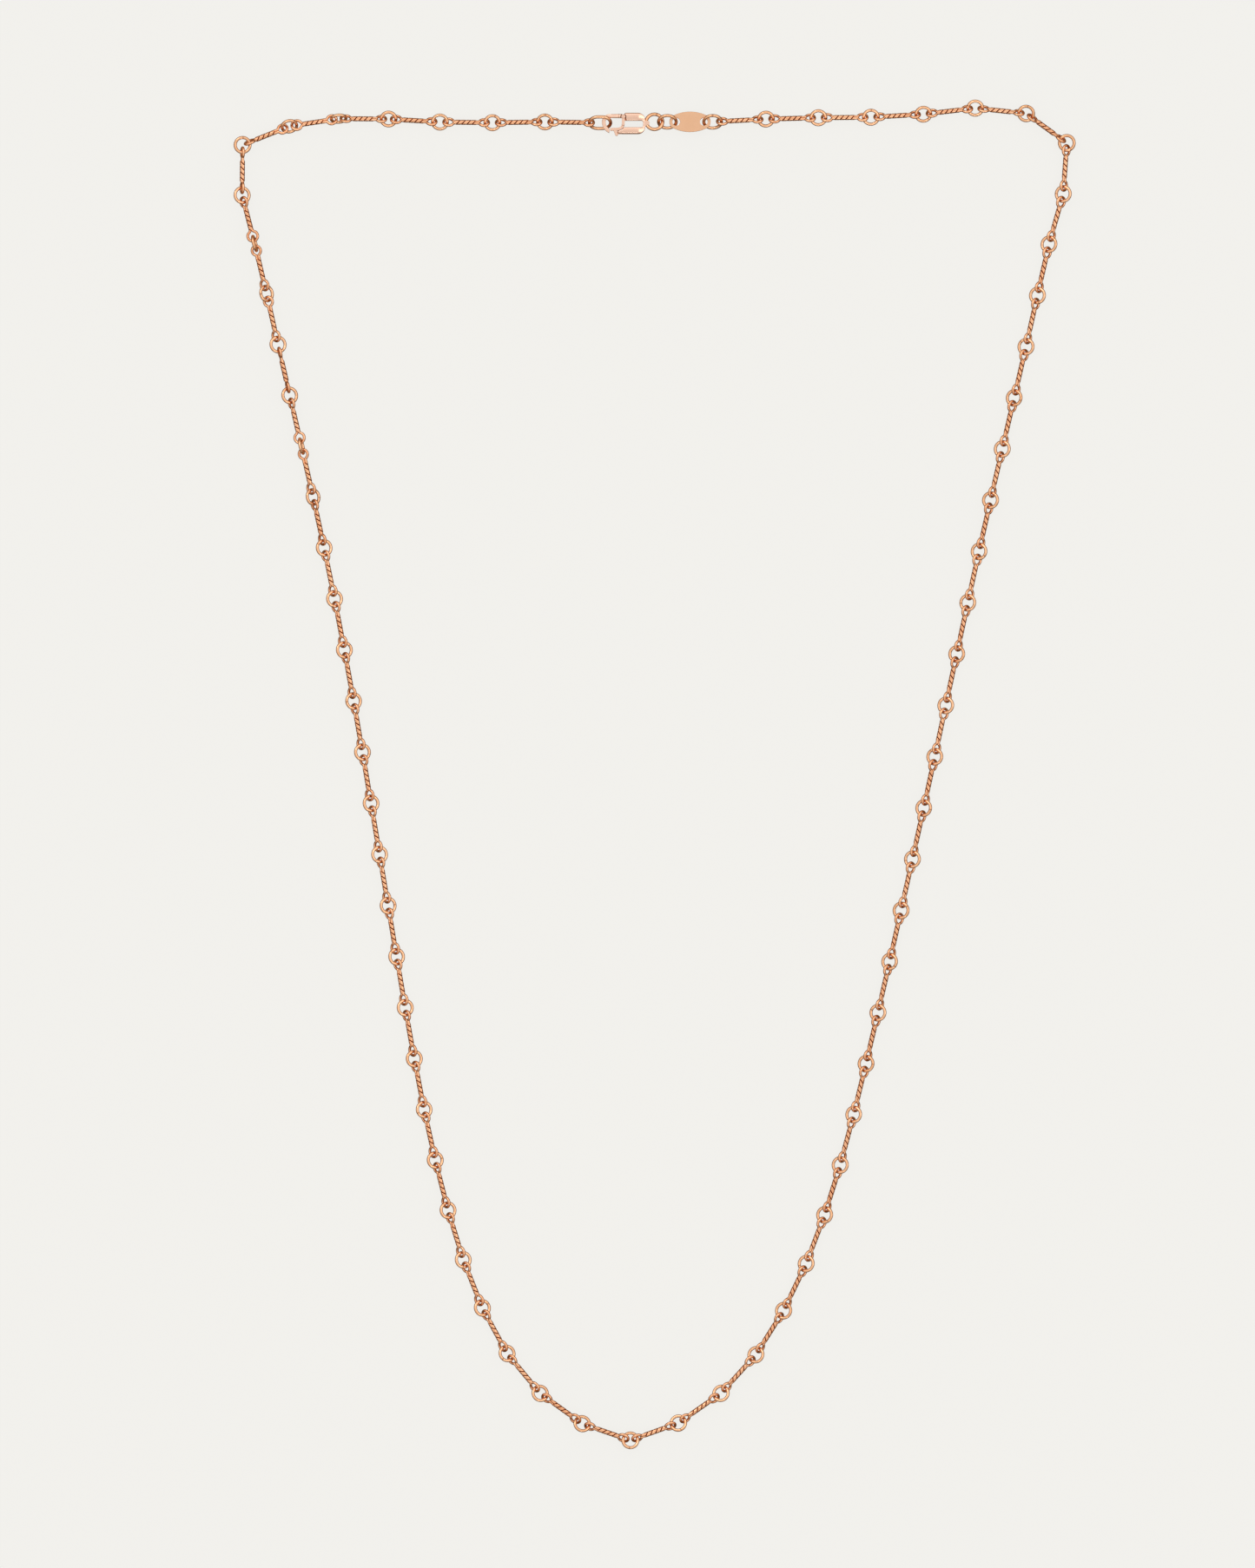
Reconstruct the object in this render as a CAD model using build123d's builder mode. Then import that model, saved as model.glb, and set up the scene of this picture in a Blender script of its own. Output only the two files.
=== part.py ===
from build123d import *
import math
import os

# A twist chain for the neck: bars of two wires twisted together, with a loop at each end,
# joined by round rings. A trigger clasp closes it, with a small blank oval tag beside it.
# Sizes are millimetres. The closed chain lies flat: X runs along the clasp, Y points from
# the lowest ring to the clasp, Z is up, and the surface that it lies on is Z = 0.

os.makedirs("parts", exist_ok=True)

# Round link rings
ring_wire = 0.52
ring_outside = 2.98

# Twisted bars, each made of one wire: two loops and the shaft twisted between them
bar_wire = 0.47
shaft_length = 3.50
shaft_half_turns = 4
strand_press = 0.02
start_loop_outside = 2.04
start_neck = 1.41
end_loop_outside = 2.16
end_neck = 0.96
neck_bend = 0.30
neck_gap = 0.02
neck_tuck = 0.06

# Room between wires that hang in each other, along the chain and at its closure
link_gap = 0.12
closure_gap = 0.20

# How the links lie, in degrees: bars rolled one way about the line of the chain, rings the
# other way, with a small sway from link to link and at least cross_angle between the two
bar_count = 68
bar_roll = 49.0
roll_sway = 3.5
ring_tilt = 23.0
tilt_sway = 2.5
cross_angle = 69.0

# Bars that lie out of step, by their number from the clasp: the roll of the start loop, and
# how far the end loop is turned from it
odd_bars = {
    5: (25.0, 0.0),
    6: (27.0, 45.0),
    7: (75.0, 0.0),
    8: (48.0, -40.0),
    9: (24.0, 20.0),
    10: (28.0, 20.0),
    11: (78.0, 0.0),
    12: (60.0, -40.0),
    13: (26.0, 20.0),
    14: (55.0, 0.0),
    61: (66.0, 0.0),
    62: (60.0, 0.0),
}
# Rings that stand on edge or nearly so, by their number from the clasp, with their tilt
odd_rings = {4: 64.0, 6: 2.0, 8: 82.0, 12: 80.0, 13: 40.0, 33: 12.0, 60: 8.0, 61: 17.0}

# Slack: how far the loops' tips are pushed into a ring from where they pull tight in it. The
# chain lies slacker down its left side, and at the rings where it turns a corner
side_slack = 0.062
slack_rings = 50
corner_slack = {
    3: 0.18,
    4: 0.24,
    5: 0.20,
    6: 0.16,
    7: 0.22,
    8: 0.18,
    33: 0.22,
    59: 0.04,
    60: 0.20,
    61: 0.18,
    62: 0.05,
}

# Clasp: a flat body with a hook at its left end, and a lever that closes the hook's mouth.
# Places on it are measured from the middle of its outline
clasp_length = 7.90
clasp_width = 3.50
clasp_thick = 2.10
top_bar_drop = 0.19
plate_start = -0.14
hook_top_round = 1.28
hook_foot_round = 2.00
hook_thick = 0.70
hook_slope_start = -2.65
hook_slope_end = -1.10
slope_start = 2.35
shoulder_end = 3.25
shoulder_round = 1.20
tail_thick = 1.20
tail_width = 1.05
tail_height = 0.92
tail_round = 0.34
eye_left = -3.33
eye_right = -0.53
eye_bottom = -1.13
eye_top = 0.92
eye_top_round = 0.62
eye_foot_round = 1.38
window_left = -1.60
window_right = 2.90
window_bottom = -0.64
window_top = 0.48
window_round = 0.30
mouth_left = -2.70
rail_start = -1.35
edge_round = 0.22
groove_places = (-1.82, -1.30)
groove_width = 0.24
groove_depth = 0.20

# Lever: an arm that hangs from the pivot pin, a gate along the foot of the eye and a thumb
# spur. Its places are measured from the pivot
pivot_x = -0.38
pivot_y = 1.10
pin_across = 0.36
pin_fit = 0.05
pin_head_across = 0.56
pin_head_height = 0.14
lever_band = 0.46
lever_head = 0.74
arm_foot = (-0.02, -1.25)
gate_bend = (-0.22, -2.00)
gate_end = (-2.20, -2.10)
gate_bend_radius = 0.85
lever_bottom = -0.40
gate_top = 0.55
arm_top = 0.95
spur_root = (-1.42, -2.10)
spur_tip = (-1.12, -2.92)
spur_width = 0.50
lever_travel = 16.0
travel_steps = 4
part_gap = 0.10

# Rings and tag of the closure
jump_ring_length = 4.08
jump_ring_width = 3.45
jump_ring_wire = 0.55
jump_ring_tilt = 51.0
jump_ring_drop = 0.15
hook_play = 0.56
clasp_drop = 0.28
clasp_ring_outside = 3.30
clasp_ring_wire = 0.58
clasp_ring_tilt = -20.0
tail_gap = 0.08
tag_ring_outside = 3.48
tag_ring_wire = 0.54
tag_ring_tilt = 48.0
tag_length = 6.86
tag_width = 3.40
tag_thick = 0.32
tag_end_radius = 1.20
tag_hole = 1.28
tag_rim = 0.50
tag_edge_round = 0.07

# Way that the chain lies, from the middle of the clasp round the left side, the lowest ring
# and the right side back to the clasp. These few points are chosen by hand
chain_route = [
    (0.0, 0.0),
    (-13.7, 0.0),
    (-31.2, 0.0),
    (-48.0, 0.5),
    (-56.2, -0.8),
    (-63.9, -4.2),
    (-63.6, -12.6),
    (-61.6, -20.3),
    (-57.7, -37.2),
    (-51.9, -62.4),
    (-46.7, -87.9),
    (-42.2, -113.8),
    (-38.0, -139.0),
    (-33.4, -164.5),
    (-29.5, -180.9),
    (-23.8, -197.1),
    (-14.5, -211.0),
    (-7.6, -216.1),
    (0.5, -219.1),
    (8.8, -216.2),
    (15.7, -211.4),
    (26.1, -197.8),
    (32.9, -182.1),
    (39.7, -157.5),
    (45.5, -132.2),
    (51.1, -106.7),
    (56.6, -81.0),
    (62.3, -55.5),
    (68.2, -29.8),
    (72.4, -12.9),
    (73.6, -4.2),
    (67.1, 1.2),
    (49.6, 1.3),
    (32.0, 0.7),
    (14.8, 0.2),
    (0.0, 0.0),
]
route_steps = 2500
scale_tries = 30

# Worked out from the sizes above
ring_radius = (ring_outside - ring_wire) / 2
start_loop_radius = (start_loop_outside - bar_wire) / 2
end_loop_radius = (end_loop_outside - bar_wire) / 2
tip_reach = ring_radius - (ring_wire + bar_wire) / 2 - link_gap
shaft_start = tip_reach + start_loop_radius + start_neck
shaft_end = shaft_start + shaft_length
link_pitch = shaft_end + end_neck + end_loop_radius + tip_reach
strand_radius = bar_wire / 2 - strand_press
twist_slope = math.atan(math.pi * bar_wire * shaft_half_turns / 2 / shaft_length)
clasp_ring_radius = (clasp_ring_outside - clasp_ring_wire) / 2
tag_ring_radius = (tag_ring_outside - tag_ring_wire) / 2
jump_half_length = (jump_ring_length - jump_ring_wire) / 2
jump_half_width = (jump_ring_width - jump_ring_wire) / 2


def rest_reach(radius, wire, tilt):
    """Height of a wire ring's middle when it is tilted and its lowest point is on Z = 0."""
    return radius * abs(math.sin(math.radians(tilt))) + wire / 2


def hang_reach(radius, wire):
    """Distance from a ring's middle to the tip of a bar's loop that hangs in its end."""
    return radius - (wire + bar_wire) / 2 - closure_gap


# Places along the closure, measured from the middle of the clasp
closure_height = max(
    rest_reach(tag_ring_radius, tag_ring_wire, tag_ring_tilt),
    rest_reach(jump_half_width, jump_ring_wire, jump_ring_tilt),
)
jump_ring_x = eye_left + hook_play + jump_ring_wire / 2 - jump_half_length
closure_left = jump_ring_x - hang_reach(jump_half_length, jump_ring_wire) + tip_reach
tail_middle = clasp_length / 2 - tail_width / 2
clasp_ring_x = tail_middle + clasp_ring_radius
clasp_tag_ring_x = (clasp_ring_x + clasp_ring_radius + tag_ring_radius
                    - (clasp_ring_wire + tag_ring_wire) / 2 - link_gap)
tag_hole_reach = tag_length / 2 - tag_rim - tag_hole / 2
tag_x = clasp_tag_ring_x + tag_ring_radius + tag_hole_reach
chain_tag_ring_x = tag_x + tag_hole_reach + tag_ring_radius
closure_right = chain_tag_ring_x + hang_reach(tag_ring_radius, tag_ring_wire) - tip_reach


def bar_rolls(number):
    """Roll of a bar's start loop, and the turn from it to the end loop."""
    if number in odd_bars:
        return odd_bars[number]
    return bar_roll + roll_sway * math.sin(1.9 * number), 0.0


def ring_tilts(number):
    """Tilt of a link ring, steep enough to cross both loops that hang in it."""
    if number in odd_rings:
        return odd_rings[number]
    before = sum(bar_rolls(number))
    after = bar_rolls(number + 1)[0]
    least = cross_angle - min(before, after)
    most = 180 - cross_angle - max(before, after)
    own = ring_tilt + tilt_sway * math.sin(2.3 * number + 1.0)
    return min(max(least, own), most)


def ring_slack(number):
    """Slack of the two loops that hang in a link ring."""
    if number < 0 or number > bar_count - 2:
        return 0.0
    share = min(number / slack_rings, 1.0)
    return corner_slack.get(number, side_slack * math.sin(math.pi * share) ** 2)


def ring_height(number):
    """Height of a link ring's middle when it, or a loop that hangs in it, touches Z = 0."""
    return max(
        rest_reach(ring_radius, ring_wire, ring_tilts(number)),
        rest_reach(end_loop_radius, bar_wire, sum(bar_rolls(number))),
        rest_reach(start_loop_radius, bar_wire, bar_rolls(number + 1)[0]),
    )


def sample_route():
    """Points close together along a smooth line through the chosen points."""
    with BuildLine() as line:
        Spline(*chain_route)
    edge = line.edges()[0]
    points = [edge @ (step / route_steps) for step in range(route_steps + 1)]
    return [(point.X, point.Y) for point in points]


def walk(route, heights):
    """Plan places of the bars' ends along the route, or None where the route is too short."""
    here = 1
    while route[here][0] > closure_left:
        here += 1
    places = [(closure_left, -jump_ring_drop)]
    for number in range(bar_count):
        last = places[-1]
        stride = math.sqrt((link_pitch - ring_slack(number - 1) - ring_slack(number)) ** 2
                           - (heights[number + 1] - heights[number]) ** 2)
        while math.dist(route[here], last) < stride:
            here += 1
            if here > route_steps:
                return None
        short = math.dist(route[here - 1], last)
        share = (stride - short) / (math.dist(route[here], last) - short)
        x, y = (a + (b - a) * share for a, b in zip(route[here - 1], route[here]))
        places.append((x, y))
    return places


def lay_chain():
    """Places of the bars' ends, with the route drawn at the scale that closes the chain."""
    route = sample_route()
    links = [ring_height(number) for number in range(bar_count - 1)]
    heights = [closure_height] + links + [closure_height]
    low, high = 0.5, 2.0
    for _ in range(scale_tries):
        scale = (low + high) / 2
        places = walk([(x * scale, y * scale) for x, y in route], heights)
        if places is None or math.hypot(*places[-1]) < closure_right:
            low = scale
        else:
            high = scale
            closed = places
    closed[-1] = (closure_right, 0.0)
    return [Vector(x, y, z) for (x, y), z in zip(closed, heights)]


plan = lay_chain()
middle = Vector(
    (min(p.X for p in plan) + max(p.X for p in plan)) / 2,
    (min(p.Y for p in plan) + max(p.Y for p in plan)) / 2,
)
ends = [p - middle for p in plan]
clasp_middle = Vector(-middle.X, -middle.Y - clasp_drop, closure_height)


def lie(origin, along, roll):
    """Location at origin with X along the chain, rolled about it: left side up if positive."""
    side = Vector(0, 0, 1).cross(along)
    flat = Plane(origin=origin, x_dir=along, z_dir=along.cross(side))
    return Location(flat) * Location((0, 0, 0), (roll, 0, 0))


def closure_place(x, y=0.0, tilt=0.0):
    """Location of a piece of the closure, tilted about X."""
    return Location(clasp_middle + Vector(x, clasp_drop + y, 0), (tilt, 0, 0))


# Link rings
with BuildPart() as one_ring:
    Torus(ring_radius, ring_wire / 2)

ring_places = []
for number in range(bar_count - 1):
    ahead = (ends[number + 2] - ends[number]).normalized()
    ring_places.append(lie(ends[number + 1], ahead, -ring_tilts(number)))


def loop_line(plane, neck, radius):
    """Middle line of an end loop: along one wire of its neck, round the tip and back."""
    centre = tip_reach + radius
    root = centre + neck + neck_tuck
    side = (bar_wire + neck_gap) / 2
    bend_y = side + neck_bend
    bend_x = centre + math.sqrt((radius + neck_bend) ** 2 - bend_y ** 2)
    lean = math.degrees(math.atan2(bend_y, bend_x - centre))
    with BuildLine(plane) as line:
        Line((root, side), (bend_x, side))
        CenterArc((bend_x, bend_y), neck_bend, 270, lean - 90)
        CenterArc((centre, 0), radius, lean, 360 - 2 * lean)
        CenterArc((bend_x, -bend_y), neck_bend, 180 - lean, lean - 90)
        Line((bend_x, -side), (root, -side))
    return line.wires()[0]


def twist_bar(turn):
    """One bar along X from one ring's middle to the next, its end loop turned by an angle."""
    with BuildSketch(Plane.YZ.offset(shaft_start)) as shaft_section:
        with Locations((strand_radius, 0), (-strand_radius, 0)):
            Ellipse(bar_wire / 2, bar_wire / 2 / math.cos(twist_slope))
    shaft = Solid.extrude_linear_with_rotation(
        shaft_section.sketch.faces()[0],
        (shaft_start, 0, 0),
        (shaft_length, 0, 0),
        turn - 180 * shaft_half_turns,
    )
    end_plane = Plane(origin=(link_pitch, 0, 0), x_dir=(-1, 0, 0), z_dir=(0, 0, -1))
    with BuildPart() as bar:
        add(shaft)
        for line in (
            loop_line(Plane.XY, start_neck, start_loop_radius),
            loop_line(end_plane, end_neck, end_loop_radius).rotate(Axis.X, turn),
        ):
            with BuildSketch(Plane(line @ 0, z_dir=line % 0)):
                Circle(bar_wire / 2)
            sweep(path=line)
    return bar.part.solids()[0]


# Twisted bars
patterns = {}
bar_places = []
for number in range(bar_count):
    start_roll, turn = bar_rolls(number)
    if turn not in patterns:
        patterns[turn] = twist_bar(turn)
    ahead = (ends[number + 1] - ends[number]).normalized()
    start = ends[number] - ahead * ring_slack(number - 1)
    bar_places.append((turn, lie(start, ahead, start_roll)))

with BuildPart() as link_rings:
    add([one_ring.part.solids()[0].moved(place) for place in ring_places])
link_rings.part.label = "link_rings"
export_step(link_rings.part, "parts/link_rings.step")

with BuildPart() as twist_bars:
    add([patterns[turn].moved(place) for turn, place in bar_places])
twist_bars.part.label = "twist_bars"
export_step(twist_bars.part, "parts/twist_bars.step")


# Oval jump ring that the clasp's hook holds
jump_plane = Plane(closure_place(jump_ring_x, -jump_ring_drop, jump_ring_tilt))
arc_middle = jump_half_length - jump_half_width
with BuildPart() as jump_ring:
    with BuildLine(jump_plane) as jump_line:
        Line((-arc_middle, jump_half_width), (arc_middle, jump_half_width))
        CenterArc((arc_middle, 0), jump_half_width, 90, -180)
        Line((arc_middle, -jump_half_width), (-arc_middle, -jump_half_width))
        CenterArc((-arc_middle, 0), jump_half_width, 270, -180)
    jump_wire = jump_line.wires()[0]
    with BuildSketch(Plane(jump_wire @ 0, z_dir=jump_wire % 0)):
        Circle(jump_ring_wire / 2)
    sweep(path=jump_wire)
jump_ring.part.label = "jump_ring"
export_step(jump_ring.part, "parts/jump_ring.step")


def lever_plane(swing, height):
    """Plane with its origin on the pivot, at an angle of swing and a height on the clasp."""
    turn = math.radians(swing)
    pivot = clasp_middle + Vector(pivot_x, pivot_y, height)
    return Plane(origin=pivot, x_dir=(math.cos(turn), math.sin(turn), 0))


def gate_outline(plane, grow):
    """The lever's whole band and its spur, grown by a gap where room is cut for them."""
    with BuildSketch(plane) as outline:
        with BuildLine():
            tip = (gate_end[0] - grow, gate_end[1])
            FilletPolyline((0, 0), arm_foot, gate_bend, tip, radius=gate_bend_radius)
        trace(line_width=lever_band + 2 * grow)
        with BuildLine():
            Line(spur_root, spur_tip)
        trace(line_width=spur_width + 2 * grow)
        with Locations(spur_tip):
            Circle(spur_width / 2 + grow)
    return outline.sketch


def arm_outline(plane, grow):
    """The lever's head and the arm below it, grown by a gap where room is cut for them."""
    with BuildSketch(plane) as outline:
        with BuildLine():
            Line((0, 0), arm_foot)
        trace(line_width=lever_band + 2 * grow)
        Circle(lever_head / 2 + grow)
        with Locations(arm_foot):
            Circle(lever_band / 2 + grow)
    return outline.sketch


def lever_solid(swing, grow, gate_height, arm_height):
    """The lever at an angle of swing, with its gate and its arm up to their own heights."""
    bottom = lever_plane(swing, lever_bottom - grow)
    with BuildPart() as lever:
        extrude(gate_outline(bottom, grow), amount=gate_height - lever_bottom + 2 * grow)
        extrude(arm_outline(bottom, grow), amount=arm_height - lever_bottom + 2 * grow)
    return lever.part


# Body of the clasp
half_length = clasp_length / 2
half_width = clasp_width / 2
half_thick = clasp_thick / 2
bar_edge = half_width - top_bar_drop

with BuildPart() as clasp_body:
    with BuildSketch(Plane(clasp_middle)) as outline:
        with BuildLine():
            Polyline(
                (-half_length, bar_edge),
                (plate_start, bar_edge),
                (plate_start, half_width),
                (shoulder_end, half_width),
                (shoulder_end, tail_height / 2),
                (half_length, tail_height / 2),
                (half_length, -tail_height / 2),
                (shoulder_end, -tail_height / 2),
                (shoulder_end, -half_width),
                (-half_length, -half_width),
                close=True,
            )
        make_face()
        corners = outline.vertices().group_by(Axis.X)
        fillet(corners[0].sort_by(Axis.Y)[0], hook_foot_round)
        fillet(outline.vertices().sort_by(Axis.Y).group_by(Axis.X)[0][-1], hook_top_round)
        shoulder = outline.vertices().group_by(Axis.X)[-2].sort_by(Axis.Y)
        fillet([shoulder[0], shoulder[-1]], shoulder_round)
        fillet(outline.vertices().group_by(Axis.X)[-1], tail_round)
    extrude(amount=half_thick, both=True)
    fillet(clasp_body.edges().filter_by(Axis.Z, reverse=True), edge_round)
    side_plane = Plane(origin=clasp_middle, x_dir=(1, 0, 0), z_dir=(0, -1, 0))
    with BuildSketch(side_plane) as profile:
        with BuildLine():
            Polyline(
                (-half_length, 0),
                (-half_length, hook_thick / 2),
                (hook_slope_start, hook_thick / 2),
                (hook_slope_end, half_thick),
                (slope_start, half_thick),
                (half_length - tail_width, tail_thick / 2),
                (half_length, tail_thick / 2),
                (half_length, 0),
                close=True,
            )
        make_face()
        mirror(about=Plane.XZ)
    extrude(amount=half_width, both=True, mode=Mode.INTERSECT)
    with BuildSketch(Plane(clasp_middle)) as openings:
        with BuildLine():
            Polyline(
                (eye_left, eye_bottom),
                (eye_right, eye_bottom),
                (eye_right, eye_top),
                (eye_left, eye_top),
                close=True,
            )
        make_face()
        left_corners = openings.vertices().group_by(Axis.X)[0].sort_by(Axis.Y)
        fillet(left_corners[0], eye_foot_round)
        fillet(openings.vertices().group_by(Axis.X)[0].sort_by(Axis.Y)[-1], eye_top_round)
        window_middle = ((window_left + window_right) / 2, (window_bottom + window_top) / 2)
        with Locations(window_middle):
            RectangleRounded(
                window_right - window_left, window_top - window_bottom, window_round
            )
        with Locations(((mouth_left + rail_start) / 2, eye_bottom - half_width / 2)):
            Rectangle(rail_start - mouth_left, half_width + part_gap)
    extrude(amount=half_thick, both=True, mode=Mode.SUBTRACT)
    for place in groove_places:
        with Locations(clasp_middle + Vector(place, half_width, half_thick)):
            Box(groove_width, clasp_width / 2, 2 * groove_depth, mode=Mode.SUBTRACT)
    add(lever_solid(0, part_gap, half_thick, half_thick), mode=Mode.SUBTRACT)
    for step in range(1, travel_steps + 1):
        swing = lever_travel * step / travel_steps
        add(lever_solid(swing, part_gap, gate_top, half_thick), mode=Mode.SUBTRACT)
    with Locations(clasp_middle + Vector(pivot_x, pivot_y, 0)):
        Cylinder(pin_across / 2, clasp_thick, mode=Mode.SUBTRACT)
    with Locations(closure_place(clasp_ring_x, 0, clasp_ring_tilt)):
        Torus(clasp_ring_radius, clasp_ring_wire / 2 + tail_gap, mode=Mode.SUBTRACT)
clasp_body.part.label = "clasp_body"
export_step(clasp_body.part, "parts/clasp_body.step")

# Lever, with the pin's hole through its head
with BuildPart() as clasp_lever:
    add(lever_solid(0, 0, gate_top, arm_top))
    with Locations(clasp_middle + Vector(pivot_x, pivot_y, 0)):
        Cylinder(pin_across / 2 + pin_fit, clasp_thick, mode=Mode.SUBTRACT)
clasp_lever.part.label = "clasp_lever"
export_step(clasp_lever.part, "parts/clasp_lever.step")

# Pin that the lever turns on, with a low head above the lever
pin_foot = clasp_middle + Vector(pivot_x, pivot_y, -half_thick)
head_foot = clasp_middle + Vector(pivot_x, pivot_y, arm_top + pin_fit)
with BuildPart() as clasp_pin:
    with Locations(pin_foot):
        Cylinder(
            pin_across / 2, half_thick + arm_top + pin_fit + pin_head_height / 2,
            align=(Align.CENTER, Align.CENTER, Align.MIN),
        )
    with Locations(head_foot):
        Cylinder(
            pin_head_across / 2, pin_head_height,
            align=(Align.CENTER, Align.CENTER, Align.MIN),
        )
    fillet(clasp_pin.edges().group_by(Axis.Z)[-1], pin_head_height / 2)
clasp_pin.part.label = "clasp_pin"
export_step(clasp_pin.part, "parts/clasp_pin.step")

# Round ring in the clasp's tail
with BuildPart() as clasp_ring:
    with Locations(closure_place(clasp_ring_x, 0, clasp_ring_tilt)):
        Torus(clasp_ring_radius, clasp_ring_wire / 2)
clasp_ring.part.label = "clasp_ring"
export_step(clasp_ring.part, "parts/clasp_ring.step")

# Round rings on each side of the tag
with BuildPart() as clasp_tag_ring:
    with Locations(closure_place(clasp_tag_ring_x, 0, tag_ring_tilt)):
        Torus(tag_ring_radius, tag_ring_wire / 2)
clasp_tag_ring.part.label = "clasp_tag_ring"
export_step(clasp_tag_ring.part, "parts/clasp_tag_ring.step")

with BuildPart() as chain_tag_ring:
    with Locations(closure_place(chain_tag_ring_x, 0, tag_ring_tilt)):
        Torus(tag_ring_radius, tag_ring_wire / 2)
chain_tag_ring.part.label = "chain_tag_ring"
export_step(chain_tag_ring.part, "parts/chain_tag_ring.step")

# Blank oval tag with a hole at each end
half_tag = tag_length / 2
end_centre = half_tag - tag_end_radius
side_radius = (end_centre ** 2 + (tag_width / 2) ** 2 - tag_end_radius ** 2) / (
    tag_width - 2 * tag_end_radius)
side_centre = side_radius - tag_width / 2
turn_x = end_centre * side_radius / (side_radius - tag_end_radius)
turn_y = side_centre * tag_end_radius / (side_radius - tag_end_radius)
with BuildPart() as tag:
    with BuildSketch(Plane(closure_place(tag_x))):
        with BuildLine():
            ThreePointArc((-turn_x, turn_y), (0, tag_width / 2), (turn_x, turn_y))
            ThreePointArc((turn_x, turn_y), (half_tag, 0), (turn_x, -turn_y))
            ThreePointArc((turn_x, -turn_y), (0, -tag_width / 2), (-turn_x, -turn_y))
            ThreePointArc((-turn_x, -turn_y), (-half_tag, 0), (-turn_x, turn_y))
        make_face()
        with Locations((-tag_hole_reach, 0), (tag_hole_reach, 0)):
            Circle(tag_hole / 2, mode=Mode.SUBTRACT)
    extrude(amount=tag_thick / 2, both=True)
    fillet(tag.edges().filter_by(Axis.Z, reverse=True), tag_edge_round)
tag.part.label = "tag"
export_step(tag.part, "parts/tag.step")
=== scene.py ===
import math

import bmesh
import bpy
import numpy as np
from mathutils import Matrix, Vector


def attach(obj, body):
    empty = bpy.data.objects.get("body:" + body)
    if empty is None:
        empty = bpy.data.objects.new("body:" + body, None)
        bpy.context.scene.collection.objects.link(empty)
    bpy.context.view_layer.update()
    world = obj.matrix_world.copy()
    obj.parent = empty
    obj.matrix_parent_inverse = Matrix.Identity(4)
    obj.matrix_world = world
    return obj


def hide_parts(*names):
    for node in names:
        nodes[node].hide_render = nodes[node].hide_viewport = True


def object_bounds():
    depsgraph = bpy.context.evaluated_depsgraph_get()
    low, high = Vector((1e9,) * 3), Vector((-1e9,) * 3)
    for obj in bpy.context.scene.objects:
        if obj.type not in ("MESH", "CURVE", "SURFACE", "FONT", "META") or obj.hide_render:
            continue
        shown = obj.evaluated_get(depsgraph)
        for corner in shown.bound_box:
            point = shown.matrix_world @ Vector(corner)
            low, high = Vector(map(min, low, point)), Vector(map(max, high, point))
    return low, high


# A rose-gold twist chain that lies closed on a pale floor, seen from straight above. Lengths
# are metres. The long wires are made again as bent and twisted wire in the places of the
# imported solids, and the clasp's pieces are copies of theirs with polished edges. The tag is
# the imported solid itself.

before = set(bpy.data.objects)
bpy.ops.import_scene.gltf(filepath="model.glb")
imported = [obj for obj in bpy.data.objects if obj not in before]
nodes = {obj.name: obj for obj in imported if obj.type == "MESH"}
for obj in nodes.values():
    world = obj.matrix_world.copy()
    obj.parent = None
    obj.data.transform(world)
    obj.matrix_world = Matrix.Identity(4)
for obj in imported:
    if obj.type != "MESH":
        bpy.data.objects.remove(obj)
cad_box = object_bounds()
MM = 0.001

# Sizes of the twisted bars, as in the part's source
bar_wire = 0.47 * MM
shaft_length = 3.50 * MM
start_loop_radius = 0.785 * MM
start_neck = 1.41 * MM
end_loop_radius = 0.845 * MM
end_neck = 0.96 * MM
neck_bend = 0.30 * MM
half_turns = 4
strand_reach = 0.205 * MM
tip_to_tip = start_loop_radius + start_neck + shaft_length + end_neck + end_loop_radius

# How far the twist eases in and out at the necks, and the handle length of a quarter circle
# of radius 1
twist_ease = 0.20 * MM
round_pull = 0.5523

# Each strand of the shaft is pressed to a full half round: its reach sideways, and the reach of
# the whole shaft. Painted shade in the grooves is full at their foot, and ends at their top
strand_side = 0.37 * MM
shaft_reach = 0.425 * MM
groove_foot = 0.24 * MM
groove_top = 0.37 * MM

# Fineness of the wires
wire_sides = 12
bar_span_steps = 8
shaft_spans = 5
ring_steps = 56

# Sizes of the rings, as in the part's source, and how soon the halves of the oval one part
# beside its middle
ring_radius = 1.23 * MM
ring_wire = 0.52 * MM
jump_ring_wire = 0.55 * MM
jump_half_length = 1.765 * MM
jump_half_width = 1.45 * MM
clasp_ring_radius = 1.36 * MM
clasp_ring_wire = 0.58 * MM
tag_ring_radius = 1.47 * MM
tag_ring_wire = 0.54 * MM
oval_parting = 4

# Half the clasp body's thickness along it, from the hook to the tail
body_profile = [(-3.95 * MM, 0.35 * MM), (-2.65 * MM, 0.35 * MM), (-1.10 * MM, 1.05 * MM),
                (2.35 * MM, 1.05 * MM), (2.90 * MM, 0.60 * MM), (3.95 * MM, 0.60 * MM)]

# How the body is eased: the room between its cuts, and the reach and steps to each side that
# a crease is eased over. Then the share that its two long bars fall by at their sides, how far
# their middles lie from its own, and half their width
body_cut = 0.12 * MM
crease_ease = 0.42 * MM
crease_steps = 4
body_crown = 0.11
crown_middle = 1.16 * MM
crown_half = 0.60 * MM

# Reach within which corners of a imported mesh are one, the turn from one link to the next that
# keeps tones and seams from repeating, and where it starts for the tones of the rings
merge_reach = 0.0005 * MM
golden_angle = 2.39996
ring_tone_start = 1

# Drift of the gold's colour over a surface: its scale and detail, the gain and start of its
# share, and how much each link's own tone adds
drift_scale = 260.0
drift_detail = 3.0
drift_gain = 1.6
drift_start = -0.45
link_tone_gain = 0.22

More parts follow.
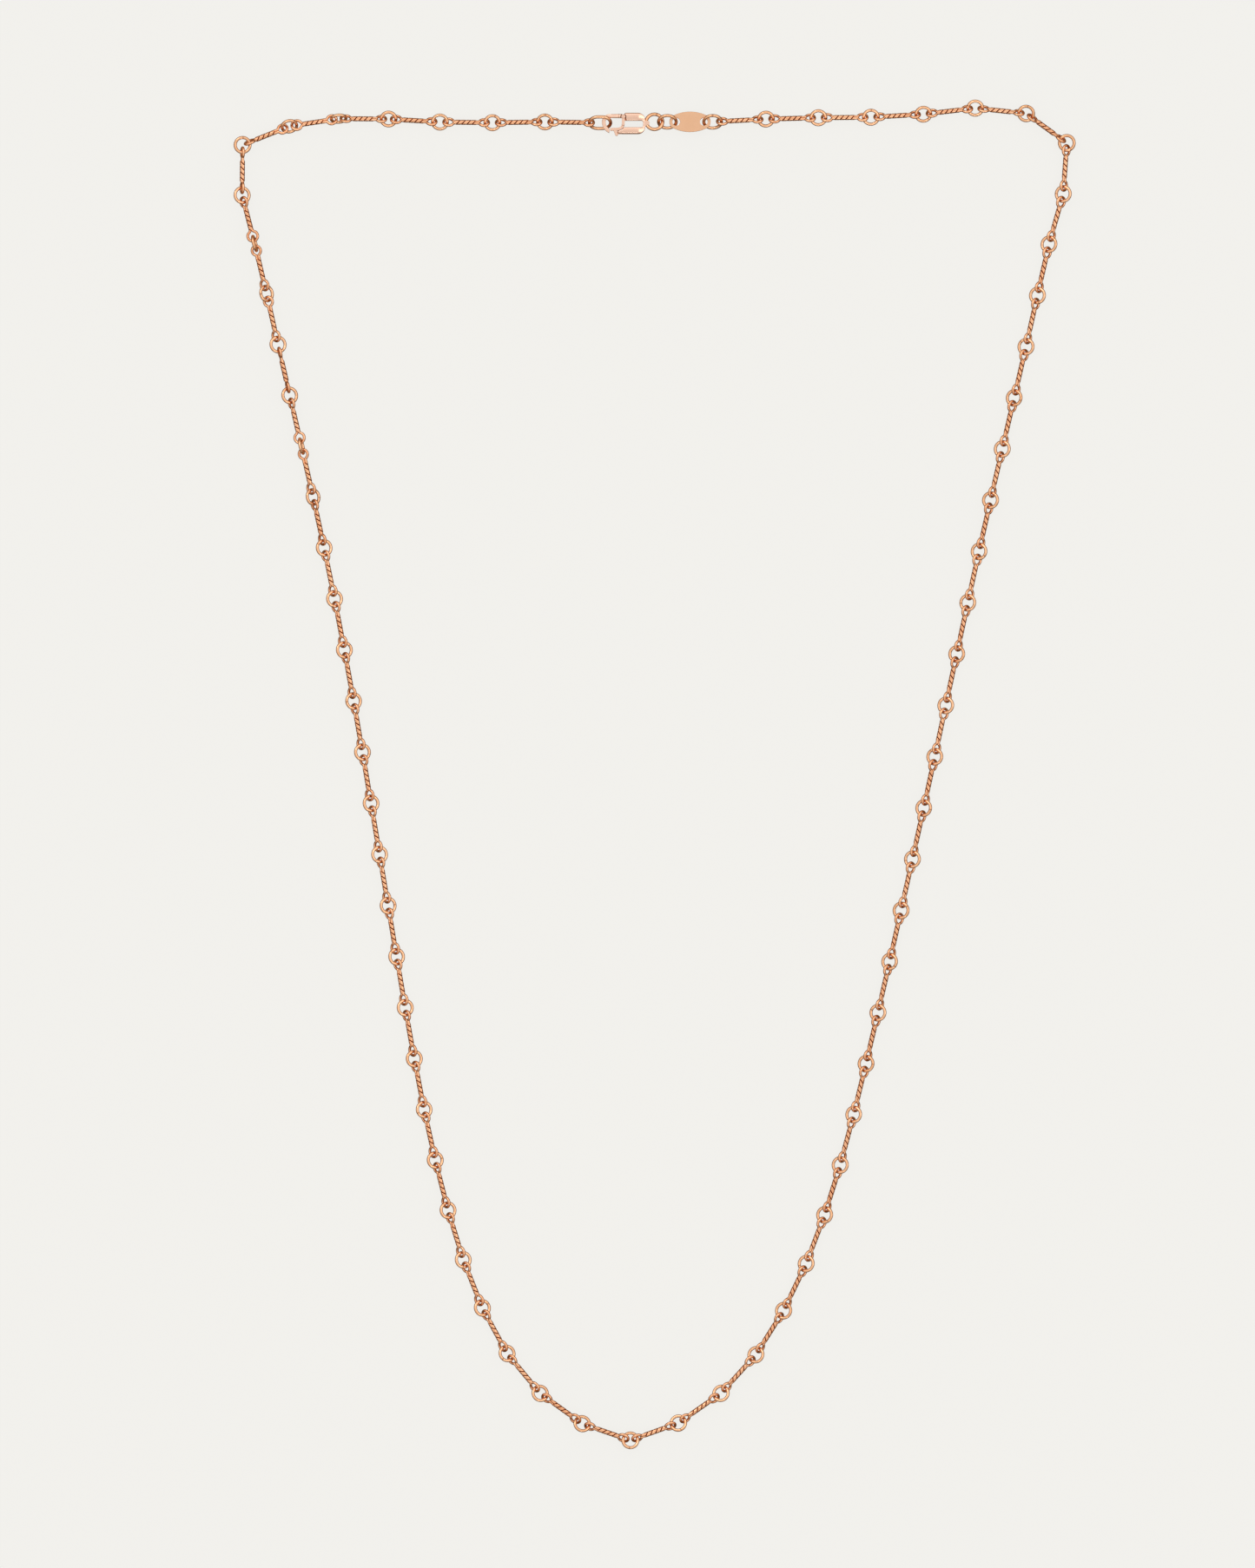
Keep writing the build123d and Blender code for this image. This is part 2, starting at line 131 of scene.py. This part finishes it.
# Polishing marks: their scale and detail, how much wider the coarse ones are, the gain and
# start of their share, and the depth of a scratch
marks_scale = 3600.0
coarse_marks = 0.2
coarse_detail = 2.0
fine_detail = 4.0
marks_gain = 3.2
marks_start = -0.3
scratch_depth = 0.01 * MM

# Solder seam of a ring: how dark it is, its depth at its middle, and how that changes with the
# angle away from there
seam_dark = 0.75
seam_depth = 1.4
seam_fall = -12.0


def solids_of(node):
    """Face middles, areas and corners of each separate solid in a CAD node, in mesh order."""
    copy = bmesh.new()
    copy.from_mesh(nodes[node].data)
    bmesh.ops.remove_doubles(copy, verts=copy.verts, dist=merge_reach)
    solids = []
    for first in copy.verts:
        if first.tag:
            continue
        first.tag = True
        group = [first]
        for vert in group:
            for edge in vert.link_edges:
                other = edge.other_vert(vert)
                if not other.tag:
                    other.tag = True
                    group.append(other)
        faces = {face.index: face for vert in group for face in vert.link_faces}
        middles = np.array([faces[i].calc_center_median() for i in sorted(faces)])
        areas = np.array([faces[i].calc_area() for i in sorted(faces)])
        corners = np.array([vert.co for vert in group])
        solids.append((middles, areas, corners))
    copy.free()
    return solids


def main_axes(middles, areas):
    """Centre of a solid's surface and its axes, from the longest to the shortest."""
    centre = (middles * areas[:, None]).sum(0) / areas.sum()
    away = middles - centre
    spread = (away * areas[:, None]).T @ away
    vectors = np.linalg.eigh(spread)[1]
    return centre, vectors[:, ::-1].T


def ring_place(middles, areas):
    """Place of a ring: its middle, with Z along its axis."""
    centre, axes = main_axes(middles, areas)
    normal = Vector(axes[2]) * (1 if axes[2][2] > 0 else -1)
    along = Vector(axes[0] if axes[0][0] > 0 else -axes[0])
    turned = Matrix((along, normal.cross(along), normal)).transposed().to_4x4()
    return Matrix.Translation(Vector(centre)) @ turned


def loop_angle(middles, areas, near, side, up):
    """Angle of a loop's plane about the bar's axis, from the faces near its tip."""
    places = middles[near]
    weights = areas[near]
    across = places @ np.array(side)
    above = places @ np.array(up)
    across = across - (across * weights).sum() / weights.sum()
    above = above - (above * weights).sum() / weights.sum()
    mixed = 2 * (weights * across * above).sum()
    apart = (weights * (across ** 2 - above ** 2)).sum()
    return math.atan2(mixed, apart) / 2


def bar_place(middles, areas, corners):
    """Place of a bar at its start loop's tip, and the turn from that loop to the end loop."""
    centre, axes = main_axes(middles, areas)
    along = Vector(axes[0])
    if Vector((-centre[1], centre[0], 0)).dot(along) < 0:
        along = -along
    side = Vector((0, 0, 1)).cross(along).normalized()
    up = along.cross(side)
    reach = corners @ np.array(along)
    places = middles @ np.array(along)
    start_near = places < reach.min() + 2 * start_loop_radius
    end_near = places > reach.max() - 2 * end_loop_radius
    start_roll = loop_angle(middles, areas, start_near, side, up)
    end_roll = loop_angle(middles, areas, end_near, side, up)
    turn = (end_roll - start_roll + math.pi / 2) % math.pi - math.pi / 2
    tip = Vector(centre) + along * (reach.min() - float(np.dot(centre, np.array(along))))
    flat = Matrix((along, side, up)).transposed().to_4x4()
    place = Matrix.Translation(tip) @ flat @ Matrix.Rotation(start_roll, 4, "X")
    return place, turn


def loop_points(middle, radius, toward, leave):
    """Points of the wire from a loop's tip over its upper side to where its neck ends.

    Each is a place with its two handles. The loop is a circle, and a small bend beside it
    turns the wire back along the bar.
    """
    rise = strand_reach + neck_bend
    run = math.sqrt((radius + neck_bend) ** 2 - rise ** 2)
    lean = math.atan2(rise, run)
    arc = 4 / 3 * math.tan((math.pi / 2 - lean) / 4)
    path = Vector((math.sin(lean), -math.cos(lean), 0))
    touch = Vector((radius * math.cos(lean), radius * math.sin(lean), 0))
    tip_pull = Vector((0, round_pull * radius, 0))
    top_pull = Vector((round_pull * radius, 0, 0))
    points = [
        (Vector((-radius, 0, 0)), -tip_pull, tip_pull),
        (Vector((0, radius, 0)), -top_pull, Vector((arc * radius, 0, 0))),
        (touch, -path * arc * radius, path * arc * neck_bend),
        (Vector((run, strand_reach, 0)), Vector((-arc * neck_bend, 0, 0)), leave),
    ]
    aim = Matrix.Scale(toward, 3, (1, 0, 0))
    return [(middle + aim @ place, aim @ near, aim @ far) for place, near, far in points]


def flat_wire():
    """The bar's closed wire before it is twisted: two loops joined by two straight strands.

    Its mesh comes with the places where the shaft starts and ends.
    """
    wire = bpy.data.curves.new("flat_wire", "CURVE")
    wire.dimensions = "3D"
    wire.bevel_depth = bar_wire / 2
    wire.bevel_resolution = wire_sides // 2 - 2
    wire.resolution_u = bar_span_steps
    start_middle = Vector((bar_wire / 2 + start_loop_radius, 0, 0))
    end_middle = Vector((bar_wire / 2 + tip_to_tip - end_loop_radius, 0, 0))
    shaft_start = start_middle.x + start_neck
    shaft_end = end_middle.x - end_neck
    pull = Vector((shaft_length / shaft_spans / 3, 0, 0))
    upper = loop_points(start_middle, start_loop_radius, 1, pull)
    # The bend beside the end loop closes the shaft's last span
    for step in range(shaft_spans):
        place = Vector((shaft_start + shaft_length * step / shaft_spans, strand_reach, 0))
        upper.append((place, -pull, pull))
    far_end = loop_points(end_middle, end_loop_radius, -1, pull)
    upper += [(place, far, near) for place, near, far in reversed(far_end)]
    over = Matrix.Scale(-1, 3, (0, 1, 0))
    lower = [(over @ place, over @ far, over @ near) for place, near, far in reversed(upper)]
    points = upper + lower[1:-1]
    spline = wire.splines.new("BEZIER")
    spline.bezier_points.add(len(points) - 1)
    for point, (place, before, after) in zip(spline.bezier_points, points):
        point.handle_left_type = "FREE"
        point.handle_right_type = "FREE"
        point.co = place
        point.handle_left = place + before
        point.handle_right = place + after
    spline.use_cyclic_u = True
    carrier = bpy.data.objects.new("flat_wire", wire)
    mesh = bpy.data.meshes.new_from_object(carrier)
    bpy.data.objects.remove(carrier)
    bpy.data.curves.remove(wire)
    return mesh, shaft_start, shaft_end


def twist_share(x, shaft_start, shaft_end):
    """Share of the whole twist at a place along the bar, and how fully it twists there."""
    length = shaft_end - shaft_start
    run = (x - shaft_start) / length
    ease = twist_ease / length
    if run <= -ease:
        return 0.0, 0.0
    if run >= 1 + ease:
        return 1.0, 0.0
    if run < ease:
        return (run + ease) ** 2 / (4 * ease), (run + ease) / (2 * ease)
    if run > 1 - ease:
        return 1 - (1 + ease - run) ** 2 / (4 * ease), (1 + ease - run) / (2 * ease)
    return run, 1.0


def add_bar(wires, groove_shade, tone, flat, shaft, place, turn, number):
    """Adds one bar to the mesh: the flat wire, twisted and laid in its place."""
    first = len(wires.verts)
    wires.from_mesh(flat)
    wires.verts.ensure_lookup_table()
    whole = turn - math.pi * half_turns
    stretch = 2 * strand_side / bar_wire - 1
    shade = math.sin(number * golden_angle)
    for vert in wires.verts[first:]:
        share, rate = twist_share(vert.co.x, *shaft)
        y = vert.co.y
        z = vert.co.z * (1 + stretch * rate)
        away = math.hypot(y, z)
        if away > shaft_reach:
            squeeze = 1 + (shaft_reach / away - 1) * rate
            y *= squeeze
            z *= squeeze
        # Painted shade for the shaft's grooves: full where the strands meet near the axis, and
        # none on their outer sides
        depth = (groove_top - away) / (groove_top - groove_foot)
        vert[groove_shade] = min(max(depth, 0.0), 1.0) * rate
        vert[tone] = shade
        turned = Matrix.Rotation(whole * share, 3, "X") @ Vector((vert.co.x, y, z))
        vert.co = place @ turned


def piece(name, mesh, body, slot_name, material, *replaced):
    """A finished piece from a bmesh, riding on its body and standing for CAD nodes."""
    data = bpy.data.meshes.new(name)
    mesh.to_mesh(data)
    mesh.free()
    data.polygons.foreach_set("use_smooth", [True] * len(data.polygons))
    obj = bpy.data.objects.new(name, data)
    bpy.context.scene.collection.objects.link(obj)
    obj.data.materials.append(material)
    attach(obj, body)
    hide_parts(*replaced)
    return obj


def add_ring(rings, around, tone, place, half_length, half_width, wire, number):
    """Adds one wire ring, round or oval, and the angle of its corners from its solder seam."""
    straight = half_length - half_width
    if straight == 0:
        place = place @ Matrix.Rotation(number * golden_angle, 4, "Z")
    shade = math.sin(number * golden_angle + ring_tone_start)
    hoops = []
    for step in range(ring_steps):
        turn = 2 * math.pi * step / ring_steps
        hoop = []
        for side in range(wire_sides):
            angle = 2 * math.pi * side / wire_sides
            reach = half_width + wire / 2 * math.cos(angle)
            x = reach * math.cos(turn)
            x += math.copysign(min(straight, abs(x) * oval_parting), x)
            corner = Vector((x, reach * math.sin(turn), wire / 2 * math.sin(angle)))
            vert = rings.verts.new(place @ corner)
            vert[around] = min(turn, 2 * math.pi - turn)
            vert[tone] = shade
            hoop.append(vert)
        hoops.append(hoop)
    for hoop, after in zip(hoops, hoops[1:] + hoops[:1]):
        for side in range(wire_sides):
            rings.faces.new((after[side - 1], after[side], hoop[side], hoop[side - 1]))


def socket_group(name, inputs, outputs):
    """An empty shader node group with named inputs and outputs."""
    group = bpy.data.node_groups.new(name, "ShaderNodeTree")
    for in_out, sockets in (("INPUT", inputs), ("OUTPUT", outputs)):
        for label, kind in sockets:
            group.interface.new_socket(name=label, in_out=in_out, socket_type=kind)
    return group, group.nodes.new("NodeGroupInput"), group.nodes.new("NodeGroupOutput")


def feed(tree, socket, value):
    """Sets a socket to a number or colour, or links it to another socket."""
    if isinstance(value, (int, float, tuple)):
        socket.default_value = value
    else:
        tree.links.new(value, socket)


def math_node(tree, operation, *values, clamp=False):
    """A math node with its inputs linked to sockets or set to numbers."""
    node = tree.nodes.new("ShaderNodeMath")
    node.operation = operation
    node.use_clamp = clamp
    for socket, value in zip(node.inputs, values):
        feed(tree, socket, value)
    return node.outputs[0]


def mixed_color(tree, share, first, second):
    """A mix of two colours, each a socket or a value."""
    node = tree.nodes.new("ShaderNodeMix")
    node.data_type = "RGBA"
    # A mix node keeps its colours behind its numbers and vectors: 6 and 7 in, 2 out
    for number, value in ((0, share), (6, first), (7, second)):
        feed(tree, node.inputs[number], value)
    return node.outputs[2]


def noise(tree, place, scale, detail):
    """A noise pattern's strength, at a place and scale."""
    node = tree.nodes.new("ShaderNodeTexNoise")
    node.inputs["Detail"].default_value = detail
    tree.links.new(place, node.inputs["Vector"])
    feed(tree, node.inputs["Scale"], scale)
    return node.outputs["Factor"] if "Factor" in node.outputs else node.outputs["Fac"]


def tone_group():
    """Colour of the gold: a slow drift over the surface, and each link's own tone."""
    group, start, end = socket_group(
        "gold_tone",
        [("Light", "NodeSocketColor"), ("Deep", "NodeSocketColor"),
         ("Tone", "NodeSocketFloat"), ("Scale", "NodeSocketFloat"),
         ("Place", "NodeSocketVector")],
        [("Color", "NodeSocketColor")],
    )
    drift = noise(group, start.outputs["Place"], start.outputs["Scale"], drift_detail)
    spread = math_node(group, "MULTIPLY_ADD", drift, drift_gain, drift_start)
    share = math_node(group, "MULTIPLY_ADD", start.outputs["Tone"], link_tone_gain, spread,
                      clamp=True)
    color = mixed_color(group, share, start.outputs["Light"], start.outputs["Deep"])
    group.links.new(color, end.inputs["Color"])
    return group


def polish_group():
    """Fine polishing marks: how rough the surface is, and the height of its fine scratches."""
    group, start, end = socket_group(
        "polish_marks",
        [("Smooth", "NodeSocketFloat"), ("Rough", "NodeSocketFloat"),
         ("Scale", "NodeSocketFloat"), ("Place", "NodeSocketVector")],
        [("Roughness", "NodeSocketFloat"), ("Height", "NodeSocketFloat")],
    )
    place = start.outputs["Place"]
    scale = start.outputs["Scale"]
    wider = math_node(group, "MULTIPLY", scale, coarse_marks)
    coarse = noise(group, place, wider, coarse_detail)
    fine = noise(group, place, scale, fine_detail)
    both = math_node(group, "MULTIPLY", coarse, fine)
    share = math_node(group, "MULTIPLY_ADD", both, marks_gain, marks_start, clamp=True)
    apart = math_node(group, "SUBTRACT", start.outputs["Rough"], start.outputs["Smooth"])
    rough = math_node(group, "MULTIPLY_ADD", share, apart, start.outputs["Smooth"])
    group.links.new(rough, end.inputs["Roughness"])
    group.links.new(fine, end.inputs["Height"])
    return group


def groove_shade_and_seam_group():
    """Darkening of a colour: painted shade down in a groove, and the darker metal of a solder
    seam.
    """
    group, start, end = socket_group(
        "groove_shade_and_seam",
        [("Color", "NodeSocketColor"), ("Dark", "NodeSocketColor"),
         ("Depth", "NodeSocketFloat"), ("Strength", "NodeSocketFloat")],
        [("Color", "NodeSocketColor")],
    )
    share = math_node(group, "MULTIPLY", start.outputs["Depth"], start.outputs["Strength"],
                      clamp=True)
    color = mixed_color(group, share, start.outputs["Color"], start.outputs["Dark"])
    group.links.new(color, end.inputs["Color"])
    return group


def placed_group(tree, group, **values):
    """A node group in a material, with its inputs linked to sockets or set to values."""
    node = tree.nodes.new("ShaderNodeGroup")
    node.node_tree = group
    for label, value in values.items():
        feed(tree, node.inputs[label], value)
    return node


def attribute(tree, name):
    """A number that the mesh carries at its corners."""
    node = tree.nodes.new("ShaderNodeAttribute")
    node.attribute_name = name
    return node.outputs["Fac"]


gold_tone = tone_group()
polish_marks = polish_group()
groove_shade_and_seam = groove_shade_and_seam_group()


def gold_material(name, light, deep, smooth, rough, bump, dark=None, groove_shade=None, seam=None):
    """Rose gold: polished metal with fine marks, its tone, painted shade in its grooves, and
    dark solder seams.
    """
    material = bpy.data.materials.new(name)
    material.use_nodes = True
    tree = material.node_tree
    shader = tree.nodes["Principled BSDF"]
    shader.inputs["Metallic"].default_value = 1.0
    place = tree.nodes.new("ShaderNodeTexCoord").outputs["Object"]
    tone = placed_group(tree, gold_tone, Light=light, Deep=deep, Scale=drift_scale,
                        Place=place, Tone=attribute(tree, "tone"))
    color = tone.outputs["Color"]
    # Painted shade darkens the colour down in the shaft's grooves
    if groove_shade:
        darkened = placed_group(tree, groove_shade_and_seam, Color=color, Dark=dark, Strength=groove_shade,
                              Depth=attribute(tree, "groove_shade"))
        color = darkened.outputs["Color"]
    if seam:
        mark = math_node(tree, "MULTIPLY_ADD", attribute(tree, "around"), seam_fall,
                         seam_depth, clamp=True)
        darkened = placed_group(tree, groove_shade_and_seam, Color=color, Dark=dark, Strength=seam,
                              Depth=mark)
        color = darkened.outputs["Color"]
    tree.links.new(color, shader.inputs["Base Color"])
    marks = placed_group(tree, polish_marks, Smooth=smooth, Rough=rough, Scale=marks_scale,
                         Place=place)
    tree.links.new(marks.outputs["Roughness"], shader.inputs["Roughness"])
    relief = tree.nodes.new("ShaderNodeBump")
    relief.inputs["Strength"].default_value = bump
    relief.inputs["Distance"].default_value = scratch_depth
    tree.links.new(marks.outputs["Height"], relief.inputs["Height"])
    tree.links.new(relief.outputs["Normal"], shader.inputs["Normal"])
    return material


# The dark colour of the twisted gold is the painted shade in its grooves
twisted_gold = gold_material(
    "twisted_gold", light=(0.88, 0.49, 0.285, 1), deep=(0.77, 0.36, 0.185, 1),
    smooth=0.12, rough=0.26, bump=0.2, dark=(0.32, 0.10, 0.035, 1), groove_shade=0.9)
ring_gold = gold_material(
    "ring_gold", light=(0.87, 0.52, 0.31, 1), deep=(0.78, 0.415, 0.22, 1),
    smooth=0.12, rough=0.26, bump=0.15, dark=(0.36, 0.14, 0.06, 1), seam=seam_dark)
clasp_gold = gold_material(
    "clasp_gold", light=(0.87, 0.60, 0.46, 1), deep=(0.82, 0.52, 0.39, 1),
    smooth=0.13, rough=0.24, bump=0.06)
tag_gold = gold_material(
    "tag_gold", light=(0.79, 0.49, 0.31, 1), deep=(0.75, 0.44, 0.26, 1),
    smooth=0.30, rough=0.38, bump=0.08)


def order_round(place):
    """Angle of a bar's or ring's place round the loop, from the clasp down the left side."""
    middle = place.translation
    return (math.atan2(middle.y, middle.x) - math.pi / 2) % (2 * math.pi)


# Twisted bars, in two pieces: the first half of the chain from the clasp, and the second
flat, *shaft = flat_wire()
bars = [bar_place(*solid) for solid in solids_of("twist_bars")]
bars.sort(key=lambda bar: order_round(bar[0]))
half_count = len(bars) // 2
for name, part_of in (("bars_left", bars[:half_count]), ("bars_right", bars[half_count:])):
    wires = bmesh.new()
    groove_shade = wires.verts.layers.float.new("groove_shade")
    tone = wires.verts.layers.float.new("tone")
    for number, (place, turn) in enumerate(part_of):
        add_bar(wires, groove_shade, tone, flat, shaft, place, turn, number)
    piece(name, wires, "chain", "twisted_wire", twisted_gold, "twist_bars")


def ring_piece(name, node, half_length, half_width, wire):
    """A piece made of the wire rings in a CAD node, in the places of its solids."""
    places = [ring_place(middles, areas) for middles, areas, _ in solids_of(node)]
    places.sort(key=order_round)
    rings = bmesh.new()
    around = rings.verts.layers.float.new("around")
    tone = rings.verts.layers.float.new("tone")
    for number, place in enumerate(places):
        add_ring(rings, around, tone, place, half_length, half_width, wire, number)
    piece(name, rings, "chain", "ring_wire", ring_gold, node)


ring_piece("round_rings", "link_rings", ring_radius, ring_radius, ring_wire)
ring_piece("hook_ring", "jump_ring", jump_half_length, jump_half_width, jump_ring_wire)
ring_piece("tail_ring", "clasp_ring", clasp_ring_radius, clasp_ring_radius, clasp_ring_wire)
ring_piece("tag_ring_left", "clasp_tag_ring", tag_ring_radius, tag_ring_radius, tag_ring_wire)
ring_piece("tag_ring_right", "chain_tag_ring", tag_ring_radius, tag_ring_radius, tag_ring_wire)


def half_height(x):
    """Half the clasp body's thickness at a place along it, as in the part's source."""
    for (start, low), (end, high) in zip(body_profile, body_profile[1:]):
        if x < end:
            return low + (high - low) * max(x - start, 0.0) / (end - start)
    return body_profile[-1][1]


def ease_body(copy):
    """Eases the creases of the clasp body's slopes, and crowns its two long bars a little."""
    low = Vector([min(vert.co[axis] for vert in copy.verts) for axis in range(3)])
    high = Vector([max(vert.co[axis] for vert in copy.verts) for axis in range(3)])
    middle = (low + high) / 2
    for axis in (0, 1):
        across = Vector((axis == 0, axis == 1, 0))
        for step in range(1, int((high[axis] - low[axis]) / body_cut)):
            place = low.copy()
            place[axis] += step * body_cut
            bmesh.ops.bisect_plane(copy, geom=copy.verts[:] + copy.edges[:] + copy.faces[:],
                                   plane_co=place, plane_no=across)
    nearby = [crease_ease * step / crease_steps
              for step in range(-crease_steps, crease_steps + 1)]
    for vert in copy.verts:
        x, y, z = vert.co - middle
        spread = [half_height(x + reach) for reach in nearby]
        drop = body_crown * min(abs(abs(y) - crown_middle) / crown_half, 1.0) ** 2
        vert.co.z = middle.z + z * (1 - drop) * sum(spread) / len(spread) / half_height(x)


def polished_copy(name, node, body, voxel, rounds, shape=None):
    """A copy of a CAD node whose edges are polished round, as on a cast and polished piece."""
    copy = bmesh.new()
    copy.from_mesh(nodes[node].data)
    bmesh.ops.remove_doubles(copy, verts=copy.verts, dist=merge_reach)
    if shape:
        shape(copy)
    made = piece(name, copy, body, "clasp_metal", clasp_gold, node)
    skin = made.modifiers.new("even_skin", "REMESH")
    skin.mode = "VOXEL"
    skin.voxel_size = voxel
    skin.use_smooth_shade = True
    polish = made.modifiers.new("polished_edges", "SMOOTH")
    polish.factor = 0.5
    polish.iterations = rounds


polished_copy("hook_body", "clasp_body", "chain", voxel=0.042 * MM, rounds=20,
              shape=ease_body)
polished_copy("trigger", "clasp_lever", "clasp_lever", voxel=0.03 * MM, rounds=6)
polished_copy("trigger_pin", "clasp_pin", "chain", voxel=0.015 * MM, rounds=2)

tag_node = nodes["tag"]
tag_node.data.materials.clear()
tag_node.data.materials.append(tag_gold)

# Floor: pale paper. Most of its brightness is its own, so that it is as even as the photo's
# ground, and it isn't mirrored in the metal, so that the wires' rims stay warm
floor_half = 1.2
paper_color = (0.05, 0.05, 0.05, 1)
paper_glow_color = (1.0, 0.989, 0.950, 1)
paper_glow = 0.833
paper_rough = 0.9
floor_mesh = bmesh.new()
bmesh.ops.create_grid(floor_mesh, x_segments=1, y_segments=1, size=floor_half)
floor_data = bpy.data.meshes.new("floor")
floor_mesh.to_mesh(floor_data)
floor_mesh.free()
floor = bpy.data.objects.new("floor", floor_data)
floor.location.z = cad_box[0][2]
bpy.context.scene.collection.objects.link(floor)
paper = bpy.data.materials.new("pale_paper")
paper.use_nodes = True
paper_shader = paper.node_tree.nodes["Principled BSDF"]
paper_shader.inputs["Base Color"].default_value = paper_color
paper_shader.inputs["Emission Color"].default_value = paper_glow_color
paper_shader.inputs["Emission Strength"].default_value = paper_glow
paper_shader.inputs["Roughness"].default_value = paper_rough
paper_shader.inputs["Specular IOR Level"].default_value = 0.0
floor_data.materials.append(paper)
floor.visible_glossy = False

# Camera straight above, with a long lens
view_middle = Vector((-4.48, -1.62, 0)) * MM
view_height = 260.8 * MM
camera_distance = 2.4
camera_reach = 10
sensor = 36.0
camera_data = bpy.data.cameras.new("camera")
camera_data.sensor_fit = "AUTO"
camera_data.sensor_width = sensor
camera_data.lens = sensor * camera_distance / view_height
camera_data.clip_end = camera_reach
camera = bpy.data.objects.new("camera", camera_data)
camera.location = view_middle + Vector((0, 0, camera_distance))
bpy.context.scene.collection.objects.link(camera)
bpy.context.scene.camera = camera

# How much green and blue a fully warm lamp lacks
lamp_green_loss = 0.06
lamp_blue_loss = 0.12


def soft_light(name, place, size, power, warmth):
    """A square studio light that points at the middle of the chain."""
    lamp = bpy.data.lights.new(name, "AREA")
    lamp.size = size
    lamp.energy = power
    lamp.color = (1.0, 1.0 - lamp_green_loss * warmth, 1.0 - lamp_blue_loss * warmth)
    holder = bpy.data.objects.new(name, lamp)
    holder.location = Vector(place)
    holder.rotation_euler = (-Vector(place)).to_track_quat("-Z", "Y").to_euler()
    bpy.context.scene.collection.objects.link(holder)


soft_light("top_left_light", (-0.6, 0.8, 1.1), size=0.35, power=1.4, warmth=0.0)
soft_light("right_light", (0.9, 0.1, 1.0), size=0.55, power=1.0, warmth=0.3)
soft_light("low_light", (0.1, -1.0, 1.1), size=0.30, power=0.8, warmth=0.3)

# Light tent: brightest part of the way up, softer straight above, and warm and dim below,
# where the metal's rims look. It is brighter behind the clasp's side than on the near side.
# Each stop is its height from 0 below to 1 above, its level, and the share of green it lacks.
# Of blue it lacks that share times the blue loss
tent_stops = [(0.0, 0.26, 0.30), (0.40, 0.13, 0.34), (0.56, 0.38, 0.18), (0.72, 0.86, 0.05),
              (0.90, 0.93, 0.03), (1.0, 0.84, 0.03)]
tent_blue_loss = 1.8
tent_lean = 0.30
tent_strength = 1.16
world = bpy.data.worlds.new("studio")
world.use_nodes = True
sky = world.node_tree
heading = sky.nodes.new("ShaderNodeSeparateXYZ")
sky.links.new(sky.nodes.new("ShaderNodeTexCoord").outputs["Generated"], heading.inputs[0])
tent = sky.nodes.new("ShaderNodeValToRGB")
tent.color_ramp.interpolation = "EASE"
first_stops = len(tent.color_ramp.elements)
for number, (place, level, warmth) in enumerate(tent_stops):
    if number < first_stops:
        stop = tent.color_ramp.elements[number]
        stop.position = place
    else:
        stop = tent.color_ramp.elements.new(place)
    stop.color = (level, level * (1 - warmth), level * (1 - tent_blue_loss * warmth), 1)
sky.links.new(math_node(sky, "MULTIPLY_ADD", heading.outputs["Z"], 0.5, 0.5), tent.inputs[0])
lean = math_node(sky, "MULTIPLY_ADD", heading.outputs["Y"], tent_lean, 1.0)
glow = math_node(sky, "MULTIPLY", lean, tent_strength)
sky.links.new(tent.outputs["Color"], sky.nodes["Background"].inputs["Color"])
sky.links.new(glow, sky.nodes["Background"].inputs["Strength"])
bpy.context.scene.world = world
bpy.context.scene.view_settings.view_transform = "Standard"
